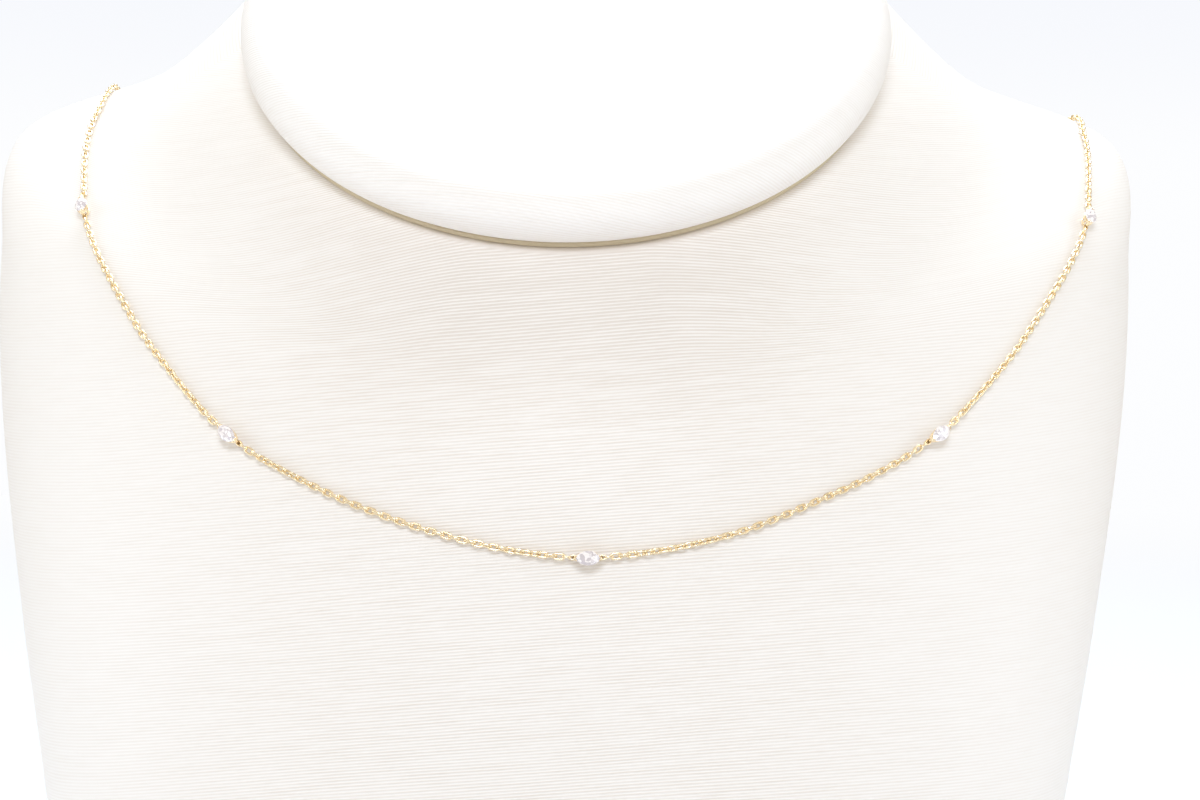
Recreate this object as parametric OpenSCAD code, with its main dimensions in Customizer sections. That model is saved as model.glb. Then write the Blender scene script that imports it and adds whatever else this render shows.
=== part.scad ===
// Station necklace on a neck bust, in millimetres.
// The bust stands on Z = 0 with its chest towards -Y and its flat back towards +Y.
// The necklace is one closed loop: five marquise stones in open settings, joined by
// stretches of fine cable chain, with a ring clasp at the middle of the back.

/* [Bust] */
// Distance of the flat back behind the middle of the bust
back_y = 45; // [43:0.5:50]
// Lean of the neck's top face towards the front, in degrees
neck_tilt = 40; // [35:0.5:45]
// Place of the middle of the neck's top face along Y
neck_y = 9.5; // [8:0.25:11]
// Height of the middle of the neck's top face
neck_z = 161.3; // [160:0.1:163]
// Length of the neck's top face from front to back, along its slope
neck_depth = 90.2; // [87:0.2:93]
// Breadth of the neck's top face
neck_w = 86; // [82:0.5:88]

/* [Neck cap] */
// Diameter of the padded cap on the neck
cap_d = 91.4; // [89:0.2:95]
// Height of the cap's rounded rim
cap_rim_h = 7.4; // [5:0.1:9]
// Height of the cap's crown above its rim
cap_crown_h = 1; // [0.5:0.1:2]
// Diameter of the board under the cap's padding
board_d = 89.1; // [88:0.1:90]
// Thickness of the board
board_h = 0.8; // [0.5:0.1:1.5]
// Gap between the neck and the cap
cap_gap = 0.2; // [0.1:0.05:0.4]

/* [Stones] */
// Length of a marquise stone
stone_l = 3.4; // [3:0.1:3.8]
// Breadth of a marquise stone
stone_w = 1.9; // [1.7:0.05:2.1]
// Size of the table as a share of the stone
table_share = 0.56; // [0.5:0.01:0.65]
// Height of the crown above the girdle
crown_h = 0.36; // [0.25:0.01:0.45]
// Height of the girdle
girdle_h = 0.07; // [0.04:0.01:0.1]
// Depth of the pavilion below the girdle
pavilion_h = 0.85; // [0.7:0.01:0.95]

/* [Settings] */
// Distance from one station to the next, along the chain
station_gap = 50.2; // [49:0.1:52]
// Height of the seat rail's top above the foot of the setting
seat_h = 1.5; // [1.3:0.05:1.7]
// Height of a rail of the setting
rail_h = 0.28; // [0.2:0.01:0.32]
// Breadth of a rail of the setting
rail_w = 0.22; // [0.18:0.01:0.26]
// Diameter of the posts between the rails
post_d = 0.3; // [0.24:0.01:0.34]
// Height of the claws above the stone's girdle
claw_h = 0.1; // [0.06:0.01:0.14]
// Length of the pointed eye at each end of a setting
eye_l = 1.5; // [1.4:0.05:1.7]
// Breadth of the pointed eye
eye_w = 0.7; // [0.64:0.02:0.8]
// Gap between a setting and the bust
setting_lift = 0.3; // [0.2:0.05:0.4]

/* [Chain] */
// Outer diameter of the cable chain
chain_d = 0.95; // [0.8:0.05:1.1]
// Gap between the chain and the bust
chain_lift = 0.3; // [0.25:0.05:0.4]
// Gap between the end of a chain and the piece that it hangs on
end_gap = 0.1; // [0.05:0.05:0.2]

/* [Clasp] */
// Outer diameter of the clasp's ring
clasp_d = 5.5; // [5:0.1:6]
// Thickness of the clasp's ring
clasp_wire = 1.1; // [0.9:0.05:1.2]
// Outer diameter of the small eye on the clasp
clasp_eye_d = 2; // [1.8:0.1:2.2]
// Wire of the small eye on the clasp
clasp_eye_wire = 0.5; // [0.4:0.05:0.6]
// Outer diameter of the end ring that the clasp holds
end_ring_d = 3.6; // [3.4:0.1:3.8]
// Wire of the end ring
end_ring_wire = 0.55; // [0.45:0.05:0.6]
// Height of the clasp's middle above the back of the bust
clasp_lift = 1.6; // [1.5:0.05:1.8]

/* [Hidden] */
STATIONS = 5;
STRETCHES = 6;

IVORY = "ivory";
CREAM = "floralwhite";
GOLD = "gold";
CRYSTAL = "aliceblue";
SMOOTH = 96;
FINE = 32;

// Sections of the bust from the foot to the foot of the neck, each in a plane that
// leans forward from a line on the flat back to a point on the middle of the chest.
// Columns of the table of sections
FRONT_Y = 0;   // place of the chest along Y
FRONT_Z = 1;   // height of the chest
BACK_Z = 2;    // height of the back
HALF_W = 3;    // half of the breadth
WIDEST = 4;    // share of the way from the back at which the section is widest
FORM = 5;      // exponent of the front's outline: 2 is an ellipse, more is squarer
section_table = [
    [-44,     0,   0,    68.2, 0.45, 3.1],
    [-43,    40,  52,    70.1, 0.45, 2.8],
    [-41.5,  70,  95,    76,   0.42, 2.4],
    [-40,    90, 125.5,  80.9, 0.35, 2.05],
    [-38.8, 103, 145,    83.1, 0.26, 1.85],
    [-36.6, 112, 155,    82.6, 0.19, 1.7],
    [-32.4, 120, 166.3,  62.6, 0.33, 1.75]
];
BACK_FORM = 2.6;
NECK_FORM = 2;
NECK_WIDEST = 0.5;

// The route of the necklace over the bust, once round, from the middle of the chest
// over the -X shoulder, down the back and over the +X shoulder.
// Columns: angle round the section, and place between the sections, counted from the foot
ANGLE = 0;
PLACE = 1;
route_table = [
    [87,         3.33],
    [93.5,       3.38],
    [100.5,      3.5],
    [107.5,      3.65],
    [113.5,      3.8],
    [118.5,      3.93],
    [121.2,      4.04],
    [123.6,      4.13],
    [126.5,      4.29],
    [132,        4.6],
    [140.5,      5],
    [153.5,      5.33],
    [166,        5.56],
    [180,        5.67],
    [194,        5.65],
    [205,        5.53],
    [213.5,      5.3],
    [219,        4.95],
    [222.5,      4.06],
    [228,        3.58],
    [235,        3.22],
    [243,        2.97],
    [252.5,      2.83],
    [262,        2.76],
    [272.5,      2.75],
    [283,        2.79],
    [292.5,      2.89],
    [301.5,      3.07],
    [310,        3.34],
    [319,        3.74],
    [325.5,      4.22],
    [329.5,      4.9],
    [336,        5.14],
    [345,        5.27],
    [358,        5.345],
    [11 + 360,   5.275],
    [24 + 360,   5.01],
    [34 + 360,   4.73],
    [41.5 + 360, 4.39],
    [47.5 + 360, 4.13],
    [51 + 360,   3.99],
    [53.2 + 360, 3.93],
    [56.5 + 360, 3.84],
    [60.5 + 360, 3.75],
    [66.5 + 360, 3.63],
    [73.5 + 360, 3.47],
    [80.5 + 360, 3.37],
    [87 + 360,   3.33]
];

// Smooth curve through points at equal steps, from p1 at f = 0 to p2 at f = 1
function blend(p0, p1, p2, p3, f) =
    0.5 * (2 * p1 + (p2 - p0) * f + (2 * p0 - 5 * p1 + 4 * p2 - p3) * f * f
        + (3 * p1 - p0 - 3 * p2 + p3) * f * f * f);

neck_back_y = neck_y + neck_depth / 2 * cos(neck_tilt);
neck_back_z = neck_z + neck_depth / 2 * sin(neck_tilt);
neck_front_y = neck_y - neck_depth / 2 * cos(neck_tilt);
neck_front_z = neck_z - neck_depth / 2 * sin(neck_tilt);

// Every section with the place of its back along Y added, and the neck's top face last
BACK_Y = 6;
sections = concat(
    [for (s = section_table) concat(s, [back_y])],
    [[neck_front_y, neck_front_z, neck_back_z, neck_w / 2, NECK_WIDEST, NECK_FORM, neck_back_y]]
);
LAST = len(sections) - 1;

// A section at any place between the rows of the table; past the ends the curve runs straight on
function before(i) = i > 0 ? sections[i - 1] : 2 * sections[i] - sections[i + 1];
function after(i) = i + 2 <= LAST ? sections[i + 2] : 2 * sections[i + 1] - sections[i];
function section_at(place) =
    let (i = min(floor(place), LAST - 1))
    blend(before(i), sections[i], sections[i + 1], after(i), place - i);

// A point of the bust's surface
function on_bust(angle, place) =
    let (
        s = section_at(place),
        c = cos(angle),
        v = sin(angle),
        form = v >= 0 ? s[FORM] : BACK_FORM,
        reach = pow(pow(abs(c), form) + pow(abs(v), form), -1 / form),
        share = s[WIDEST] + (v >= 0 ? 1 - s[WIDEST] : s[WIDEST]) * v * reach
    )
    [
        s[HALF_W] * c * reach,
        s[BACK_Y] + (s[FRONT_Y] - s[BACK_Y]) * share,
        s[BACK_Z] + (s[FRONT_Z] - s[BACK_Z]) * share
    ];

function unit(v) = v / norm(v);

// The outward direction at a point of the surface
NUDGE_ANGLE = 0.1;
NUDGE_PLACE = 0.002;
function outward(angle, place) =
    unit(cross(
        on_bust(angle, place + NUDGE_PLACE) - on_bust(angle, place - NUDGE_PLACE),
        on_bust(angle + NUDGE_ANGLE, place) - on_bust(angle - NUDGE_ANGLE, place)
    ));

// The route as a fine table: distance along it, angle and place
ROUTE_STEPS = 6;
ROUTE_LAST = len(route_table) - 1;
// The loop closes on itself, a whole turn further on
function turned(p, turns) = [p[ANGLE] + 360 * turns, p[PLACE]];
function route_row(i) =
    i < 0 ? turned(route_table[ROUTE_LAST + i], -1)
    : i > ROUTE_LAST ? turned(route_table[i - ROUTE_LAST], 1)
    : route_table[i];
fine_route = [
    for (i = [0:ROUTE_LAST - 1], k = [0:ROUTE_STEPS - 1])
        blend(route_row(i - 1), route_row(i), route_row(i + 1), route_row(i + 2), k / ROUTE_STEPS),
    route_table[ROUTE_LAST]
];
chain_middle = chain_lift + chain_d / 2;
function raised(angle, place, lift) = on_bust(angle, place) + lift * outward(angle, place);
fine_points = [for (p = fine_route) raised(p[ANGLE], p[PLACE], chain_middle)];
fine_length = [
    for (i = 0, s = 0; i < len(fine_points);
         s = s + (i + 1 < len(fine_points) ? norm(fine_points[i + 1] - fine_points[i]) : 0), i = i + 1) s
];
angle_table = [for (i = [0:len(fine_route) - 1]) [fine_length[i], fine_route[i][ANGLE]]];
place_table = [for (i = [0:len(fine_route) - 1]) [fine_length[i], fine_route[i][PLACE]]];
loop_length = fine_length[len(fine_length) - 1];

// Pace along the route: its length plus a share for every bend, so that rings placed at
// equal steps of pace stand closer together where the route turns
BEND_PACE = 12;
FINE_LAST = len(fine_points) - 1;
function bend(i) =
    i < 1 || i >= FINE_LAST ? 0
    : norm(unit(fine_points[i + 1] - fine_points[i]) - unit(fine_points[i] - fine_points[i - 1]));
fine_pace = [
    for (i = 0, p = 0; i <= FINE_LAST;
         p = p + (i < FINE_LAST ? norm(fine_points[i + 1] - fine_points[i]) + BEND_PACE * bend(i + 1) : 0),
         i = i + 1) p
];
pace_of = [for (i = [0:FINE_LAST]) [fine_length[i], fine_pace[i]]];
s_of_pace = [for (i = [0:FINE_LAST]) [fine_pace[i], fine_length[i]]];

// A point at a distance s along the loop, raised off the bust
function along(s) = s < 0 ? s + loop_length : s > loop_length ? s - loop_length : s;
function route_point(s, lift) =
    raised(lookup(along(s), angle_table), lookup(along(s), place_table), lift);
function route_outward(s) = outward(lookup(along(s), angle_table), lookup(along(s), place_table));
PROBE = 1.2;
function route_ahead(s) =
    unit(route_point(s + PROBE, chain_middle) - route_point(s - PROBE, chain_middle));

// Puts its children on the route, with X along it and Z away from the bust
module on_route(s, lift) {
    ahead = route_ahead(s);
    side = unit(cross(route_outward(s), ahead));
    up = cross(ahead, side);
    foot = route_point(s, lift);
    multmatrix([
        [ahead[0], side[0], up[0], foot[0]],
        [ahead[1], side[1], up[1], foot[1]],
        [ahead[2], side[2], up[2], foot[2]]
    ]) children();
}

// Faces of a tube of rings with flat ends, three corners to a face
function loft_faces(rings, sides) = concat(
    [for (r = [0:rings - 2], k = [0:sides - 1])
        [r * sides + k, r * sides + (k + 1) % sides, (r + 1) * sides + k]],
    [for (r = [0:rings - 2], k = [0:sides - 1])
        [(r + 1) * sides + k, r * sides + (k + 1) % sides, (r + 1) * sides + (k + 1) % sides]],
    [[for (k = [sides - 1:-1:0]) k]],
    [[for (k = [0:sides - 1]) (rings - 1) * sides + k]]
);

// The bust: one closed form lofted through its sections
BUST_SIDES = 64;
BUST_STEP = 0.25;
module bust() {
    places = [0:BUST_STEP:LAST];
    points = [
        for (place = places, k = [0:BUST_SIDES - 1])
            on_bust(k * 360 / BUST_SIDES, place)
    ];
    color(IVORY)
        polyhedron(points, loft_faces(LAST / BUST_STEP + 1, BUST_SIDES));
}

// The padded cap: a round disc with a full round rim and a low crown, on a thin board
// that shows as a narrow edge below the rim. It lies on the neck's slope
CROWN_STEPS = 8;
module cap_outline() {
    rim_r = cap_rim_h / 2;
    flat_r = cap_d / 2 - rim_r;
    translate([0, -rim_r])
        square([flat_r, cap_rim_h]);
    translate([0, -rim_r])
        square([board_d / 2, board_h]);
    translate([flat_r, 0])
        intersection() {
            circle(rim_r, $fn = SMOOTH);
            translate([0, -rim_r])
                square([rim_r, cap_rim_h]);
        }
    polygon(concat(
        [[0, 0]],
        [for (k = [CROWN_STEPS:-1:0])
            let (share = k / CROWN_STEPS)
            [flat_r * share, rim_r + cap_crown_h * (1 - share * share)]]
    ));
}
module neck_cap() {
    color(CREAM)
        translate([0, neck_y, neck_z])
            rotate([neck_tilt, 0, 0])
                translate([0, 0, cap_gap + cap_rim_h / 2])
                    rotate_extrude($fn = SMOOTH)
                        cap_outline();
}

// A pointed oval, the part that two equal circles share
module pointed_oval(length, width) {
    r = (length * length + width * width) / (4 * width);
    intersection() {
        translate([0, r - width / 2])
            circle(r, $fn = SMOOTH);
        translate([0, width / 2 - r])
            circle(r, $fn = SMOOTH);
    }
}
// A frame of that outline; its wall is half as thick again at the tips
TIP_WALL = 1.5;
module pointed_frame(length, width, wall) {
    difference() {
        pointed_oval(length, width);
        pointed_oval(length - 2 * TIP_WALL * wall, width - 2 * wall);
    }
}
// Half of a pointed oval's width at x
function oval_half(length, width, x) =
    let (r = (length * length + width * width) / (4 * width))
    sqrt(r * r - x * x) - r + width / 2;

// A station's own sizes, measured from the foot of the setting
FOOT_SHARE = 0.62;   // size of the foot rail against the stone
POST_SHARE = 0.32;   // place of the posts along a rail, as a share of its length
STEM_SHARE = 0.44;   // place of a stem's foot along the foot rail
STEM_LEAN = 55;      // lean of a stem from upright
STEM_L = 0.85;
EYE_Z = 0.45;        // height of the eyes' underside
EYE_OUT = 0.1;       // distance of an eye's middle past the stone's tip
STRUT_IN = 0.08;     // distance of a strut's middle inside the stone's tip
CLAW_FROM = 0.44;    // share of the stone's length at which a claw starts
STONE_GAP = 0.02;
foot_l = stone_l * FOOT_SHARE;
foot_w = stone_w * FOOT_SHARE;
seat_l = stone_l + 2 * rail_w;
seat_w = stone_w + rail_w;
seat_z = seat_h - rail_h;
eye_x = stone_l / 2 + EYE_OUT;
station_half = eye_x + eye_l / 2;
// The girdle's underside, where the pavilion clears the opening of the seat rail
stone_z = seat_h + pavilion_h * rail_w / stone_w + STONE_GAP;
claw_top = stone_z + girdle_h + claw_h;

// A post from the foot rail to the seat rail
module post(x_sign, y_sign) {
    low_x = foot_l * POST_SHARE;
    high_x = seat_l * POST_SHARE;
    low = [x_sign * low_x, y_sign * (oval_half(foot_l, foot_w, low_x) - rail_w / 2)];
    high = [x_sign * high_x, y_sign * (oval_half(seat_l, seat_w, high_x) - rail_w / 2)];
    run = norm(high - low);
    translate([low[0], low[1], rail_h / 2])
        rotate([0, atan2(run, seat_z), atan2(high[1] - low[1], high[0] - low[0])])
            cylinder(h = norm([run, seat_z]), d = post_d, $fn = FINE);
}
// A claw: the tip of the seat rail carried up past the girdle
module claw(x_sign) {
    from = stone_l * CLAW_FROM;
    to = seat_l / 2 + rail_w;
    intersection() {
        translate([0, 0, seat_z])
            linear_extrude(claw_top - seat_z)
                difference() {
                    pointed_oval(seat_l + rail_w, seat_w + rail_w / 2);
                    pointed_oval(stone_l + 2 * STONE_GAP, stone_w + 2 * STONE_GAP);
                }
        translate([x_sign * (from + to) / 2, 0, claw_top / 2])
            cube([to - from, stone_w, claw_top], center = true);
    }
}
// An open setting in one piece: a foot rail, a seat rail, posts between them, a pointed
// claw over each tip of the stone and a pointed eye at each end for the chain
module setting_body() {
    linear_extrude(rail_h)
        pointed_frame(foot_l, foot_w, rail_w);
    translate([0, 0, seat_z])
        linear_extrude(rail_h)
            pointed_frame(seat_l, seat_w, rail_w);
    for (x = [-1, 1], y = [-1, 1])
        post(x, y);
    for (x = [-1, 1]) {
        claw(x);
        translate([x * eye_x, 0, EYE_Z])
            linear_extrude(rail_h)
                pointed_frame(eye_l, eye_w, rail_w);
        // Stem from the foot rail out to the eye, and a strut from there up to the seat rail
        translate([x * foot_l * STEM_SHARE, 0, rail_h / 2])
            rotate([0, x * STEM_LEAN, 0])
                cylinder(h = STEM_L, d = post_d, $fn = FINE);
        translate([x * (stone_l / 2 - STRUT_IN), 0, EYE_Z])
            cylinder(h = seat_h - rail_h / 2 - EYE_Z, d = post_d, $fn = FINE);
    }
}
module setting(i) {
    color(GOLD)
        on_route(station_s(i), setting_lift)
            setting_body();
}

// A cut stone: table, crown, thin girdle and pavilion, pointed at both ends
GIRDLE_SIDES = 16;
// A corner of the girdle outline, at equal steps of its two arcs
function marquise(k, n, l, w) =
    let (
        r = (l * l + w * w) / (4 * w),
        half_angle = asin(l / 2 / r),
        upper = k < n / 2,
        f = (upper ? k : k - n / 2) / (n / 2),
        a = half_angle * (1 - 2 * f)
    )
    upper ? [r * sin(a), r * cos(a) - r + w / 2] : [-r * sin(a), r - w / 2 - r * cos(a)];
module stone_body() {
    n = GIRDLE_SIDES;
    half = n / 2;
    points = concat(
        [for (k = [0:half - 1]) concat(table_share * marquise(2 * k, n, stone_l, stone_w), girdle_h + crown_h)],
        [for (k = [0:n - 1]) concat(marquise(k, n, stone_l, stone_w), girdle_h)],
        [for (k = [0:n - 1]) concat(marquise(k, n, stone_l, stone_w), 0)],
        [[0, 0, -pavilion_h]]
    );
    upper = half;
    lower = half + n;
    culet = half + 2 * n;
    faces = concat(
        [[for (k = [half - 1:-1:0]) k]],
        [for (k = [0:half - 1]) [k, (k + 1) % half, upper + 2 * k + 1]],
        [for (k = [0:half - 1]) [k, upper + 2 * k + 1, upper + 2 * k]],
        [for (k = [0:half - 1]) [k, upper + 2 * k, upper + (2 * k + n - 1) % n]],
        [for (k = [0:n - 1]) [upper + k, upper + (k + 1) % n, lower + (k + 1) % n]],
        [for (k = [0:n - 1]) [upper + k, lower + (k + 1) % n, lower + k]],
        [for (k = [0:n - 1]) [lower + k, lower + (k + 1) % n, culet]]
    );
    polyhedron(points, faces);
}
module stone(i) {
    color(CRYSTAL)
        on_route(station_s(i), setting_lift)
            translate([0, 0, stone_z])
                stone_body();
}

// Stations in the order of the route, from the -X shoulder to the +X shoulder
function station_s(i) = (i - (STATIONS + 1) / 2) * -station_gap;

// Ends of the chain's stretches along the route, in the order of the route
clasp_s = loop_length / 2;
clasp_hole_r = clasp_d / 2 - clasp_wire;
LINK_GAP = 0.15;
END_RING_LEAN = 50;
EYE_BITE = 0.7;      // share of the small eye's wire that is sunk in the ring
end_ring_x = clasp_hole_r - LINK_GAP + end_ring_d / 2 - end_ring_wire;
clasp_eye_x = -(clasp_d / 2 + clasp_eye_d / 2 - EYE_BITE * clasp_eye_wire);
clasp_low_x = clasp_eye_x - clasp_eye_d / 2;
clasp_high_x = end_ring_x + end_ring_d / 2;
hold = station_half + end_gap;
// Columns: start and end along the route, and number of rings
FROM = 0;
TO = 1;
RINGS = 2;
stretches = [
    [station_s(1) + hold, clasp_s + clasp_low_x - end_gap, 25],
    [station_s(2) + hold, station_s(1) - hold, 7],
    [station_s(3) + hold, station_s(2) - hold, 7],
    [station_s(4) + hold, station_s(3) - hold, 7],
    [station_s(5) + hold, station_s(4) - hold, 7],
    [clasp_s + clasp_high_x + end_gap, loop_length + station_s(5) - hold, 25]
];

// A stretch of chain as a slim tube that follows the route
CHAIN_SIDES = 8;
// Pace at any distance; the route's start is passed with negative distances
function pace_at(s) =
    s < 0 ? lookup(s + loop_length, pace_of) - fine_pace[FINE_LAST] : lookup(s, pace_of);
function s_at(p) =
    p < 0 ? lookup(p + fine_pace[FINE_LAST], s_of_pace) - loop_length : lookup(p, s_of_pace);
function ring_s(i, share) =
    let (
        from = pace_at(stretches[i - 1][FROM]),
        to = pace_at(stretches[i - 1][TO])
    )
    s_at(from + (to - from) * share);
module chain(i) {
    rings = stretches[i - 1][RINGS];
    r = chain_d / 2;
    points = [
        for (k = [0:rings - 1])
            let (
                share = k / (rings - 1),
                s = ring_s(i, share),
                middle = route_point(s, chain_middle),
                ahead = route_ahead(s),
                side = unit(cross(route_outward(s), ahead)),
                up = cross(ahead, side)
            )
            for (j = [0:CHAIN_SIDES - 1])
                let (a = (j + 0.5) * 360 / CHAIN_SIDES)
                middle + r * (cos(a) * side + sin(a) * up)
    ];
    color(GOLD)
        polyhedron(points, loft_faces(rings, CHAIN_SIDES));
}

// A round ring of round wire, lying in the XY plane
module wire_ring(outer_d, wire_d) {
    rotate_extrude($fn = SMOOTH)
        translate([(outer_d - wire_d) / 2, 0])
            circle(d = wire_d, $fn = FINE);
}
// The clasp, in one piece: its ring and the small eye for the chain
module clasp() {
    color(GOLD)
        on_route(clasp_s, clasp_lift) {
            wire_ring(clasp_d, clasp_wire);
            translate([clasp_eye_x, 0, 0])
                wire_ring(clasp_eye_d, clasp_eye_wire);
        }
}
// The end ring, linked through the clasp's ring and leaning across it
module end_ring() {
    color(GOLD)
        on_route(clasp_s, clasp_lift)
            translate([end_ring_x, 0, 0])
                rotate([END_RING_LEAN, 0, 0])
                    wire_ring(end_ring_d, end_ring_wire);
}

bust();
neck_cap();
clasp();
end_ring();
for (i = [1:STATIONS]) {
    setting(i);
    stone(i);
}
for (i = [1:STRETCHES]) {
    chain(i);
}
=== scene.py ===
import math

import bpy
import numpy as np
from mathutils import Matrix, Vector


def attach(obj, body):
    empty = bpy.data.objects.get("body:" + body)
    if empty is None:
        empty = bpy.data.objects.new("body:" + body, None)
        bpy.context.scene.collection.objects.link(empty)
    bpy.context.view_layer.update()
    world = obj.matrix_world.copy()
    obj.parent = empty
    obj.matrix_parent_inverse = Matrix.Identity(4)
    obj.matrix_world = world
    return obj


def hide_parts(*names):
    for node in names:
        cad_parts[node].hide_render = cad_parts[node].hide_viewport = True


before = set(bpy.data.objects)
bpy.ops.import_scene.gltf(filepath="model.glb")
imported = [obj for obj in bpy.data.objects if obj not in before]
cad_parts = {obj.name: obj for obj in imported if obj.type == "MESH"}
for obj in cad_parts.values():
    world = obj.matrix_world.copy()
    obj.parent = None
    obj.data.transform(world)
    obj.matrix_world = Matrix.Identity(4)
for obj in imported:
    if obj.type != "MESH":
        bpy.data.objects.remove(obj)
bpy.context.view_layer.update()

MM = 0.001
scene = bpy.context.scene

# ---------------------------------------------------------------- sizes, in millimetres
BACK_Y = 45.0
NECK_TILT = math.radians(40)
NECK_MIDDLE = np.array([0, 9.5, 161.3])
CAP_R, CAP_RIM_R, CAP_CROWN, CAP_GAP = 45.7, 3.7, 1.0, 0.2
BOARD_R, BOARD_H = 44.25, 0.6
STATION_GAP = 50.2
STATIONS = 5
CHAIN_MIDDLE = 0.775
SETTING_LIFT = 0.3
CLASP_LIFT = 1.6

# Sections of the bust: FRONT_Y, FRONT_Z, BACK_Z, HALF_W, WIDEST, FORM
SECTIONS = np.array([
    [-44, 0, 0, 68.2, 0.45, 3.1],
    [-43, 40, 52, 70.1, 0.45, 2.8],
    [-41.5, 70, 95, 76, 0.42, 2.4],
    [-40, 90, 125.5, 80.9, 0.35, 2.05],
    [-38.8, 103, 145, 83.1, 0.26, 1.85],
    [-36.6, 112, 155, 82.6, 0.19, 1.7],
    [-32.4, 120, 166.3, 62.6, 0.33, 1.75],
])
NECK_DEPTH, NECK_W = 90.2, 86.0
BACK_FORM = 2.6
neck_run = NECK_DEPTH / 2 * np.array([math.cos(NECK_TILT), math.sin(NECK_TILT)])
ROWS = np.vstack([
    np.column_stack([SECTIONS, np.full(len(SECTIONS), BACK_Y)]),
    [NECK_MIDDLE[1] - neck_run[0], NECK_MIDDLE[2] - neck_run[1], NECK_MIDDLE[2] + neck_run[1],
     NECK_W / 2, 0.5, 2, NECK_MIDDLE[1] + neck_run[0]],
])
LAST = len(ROWS) - 1

# The route of the necklace over the bust: angle round the section, place between the sections
ROUTE = np.array([
    [87, 3.33], [93.5, 3.38], [100.5, 3.5], [107.5, 3.65], [113.5, 3.8], [118.5, 3.93],
    [121.2, 4.04], [123.6, 4.13], [126.5, 4.29], [132, 4.6], [140.5, 5], [153.5, 5.33],
    [166, 5.56], [180, 5.67], [194, 5.65], [205, 5.53], [213.5, 5.3], [219, 4.95],
    [222.5, 4.06], [228, 3.58], [235, 3.22], [243, 2.97], [252.5, 2.83], [262, 2.76],
    [272.5, 2.75], [283, 2.79], [292.5, 2.89], [301.5, 3.07], [310, 3.34], [319, 3.74],
    [325.5, 4.22], [329.5, 4.9], [336, 5.14], [345, 5.27], [358, 5.345], [371, 5.275],
    [384, 5.01], [394, 4.73], [401.5, 4.39], [407.5, 4.13], [411, 3.99], [413.2, 3.93],
    [416.5, 3.84], [420.5, 3.75], [426.5, 3.63], [433.5, 3.47], [440.5, 3.37], [447, 3.33],
])
ROUTE_STEPS = 6


# ---------------------------------------------------------------- the form of the bust
def blend(p0, p1, p2, p3, f):
    return 0.5 * (2 * p1 + (p2 - p0) * f + (2 * p0 - 5 * p1 + 4 * p2 - p3) * f * f
                  + (3 * p1 - p0 - 3 * p2 + p3) * f * f * f)


EXTENDED = np.vstack([2 * ROWS[0] - ROWS[1], ROWS, 2 * ROWS[-1] - ROWS[-2]])


def section_at(place):
    i = np.clip(np.floor(place).astype(int), 0, LAST - 1)
    return blend(EXTENDED[i], EXTENDED[i + 1], EXTENDED[i + 2], EXTENDED[i + 3], (place - i)[..., None])


def on_bust(angle, place):
    """Points of the bust's surface, at angles in degrees and places between the sections."""
    angle, place = np.broadcast_arrays(np.asarray(angle, float), np.asarray(place, float))
    front_y, front_z, back_z, half_w, widest, form, back_y = np.moveaxis(section_at(place), -1, 0)
    c, v = np.cos(np.radians(angle)), np.sin(np.radians(angle))
    e = np.where(v >= 0, form, BACK_FORM)
    reach = (np.abs(c) ** e + np.abs(v) ** e) ** (-1 / e)
    share = widest + np.where(v >= 0, 1 - widest, widest) * v * reach
    return np.stack([
        half_w * c * reach,
        back_y + (front_y - back_y) * share,
        back_z + (front_z - back_z) * share,
    ], axis=-1)


def unit(v):
    return v / np.linalg.norm(v, axis=-1, keepdims=True)


def outward(angle, place):
    across = on_bust(angle + 0.1, place) - on_bust(angle - 0.1, place)
    upward = on_bust(angle, place + 0.002) - on_bust(angle, place - 0.002)
    return unit(np.cross(upward, across))


# ---------------------------------------------------------------- the route of the chain
def closed_row(i):
    n = len(ROUTE) - 1
    turns, i = divmod(i, n)
    return ROUTE[i] + [360 * turns, 0]


fine = np.array([
    blend(closed_row(i - 1), closed_row(i), closed_row(i + 1), closed_row(i + 2), k / ROUTE_STEPS)
    for i in range(len(ROUTE) - 1) for k in range(ROUTE_STEPS)
] + [ROUTE[-1]])
fine_points = on_bust(fine[:, 0], fine[:, 1]) + CHAIN_MIDDLE * outward(fine[:, 0], fine[:, 1])
fine_length = np.concatenate([[0], np.cumsum(np.linalg.norm(np.diff(fine_points, axis=0), axis=1))])
LOOP = fine_length[-1]
CLASP_S = LOOP / 2


def at_route(s):
    s = np.mod(s, LOOP)
    return np.interp(s, fine_length, fine[:, 0]), np.interp(s, fine_length, fine[:, 1])


def route_point(s, lift):
    angle, place = at_route(s)
    return on_bust(angle, place) + np.asarray(lift)[..., None] * outward(angle, place)


def route_frame(s, lift):
    """Foot, and the directions ahead, sideways and away from the bust, at a distance along the loop."""
    ahead = unit(route_point(s + 1.2, CHAIN_MIDDLE) - route_point(s - 1.2, CHAIN_MIDDLE))
    side = unit(np.cross(outward(*at_route(s)), ahead))
    return route_point(s, lift), ahead, side, np.cross(ahead, side)


def onto_route(points, s, lift):
    foot, ahead, side, up = route_frame(s, lift)
    return foot + points @ np.array([ahead, side, up])


def station_s(i):
    return ((STATIONS + 1) / 2 - i) * STATION_GAP


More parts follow.
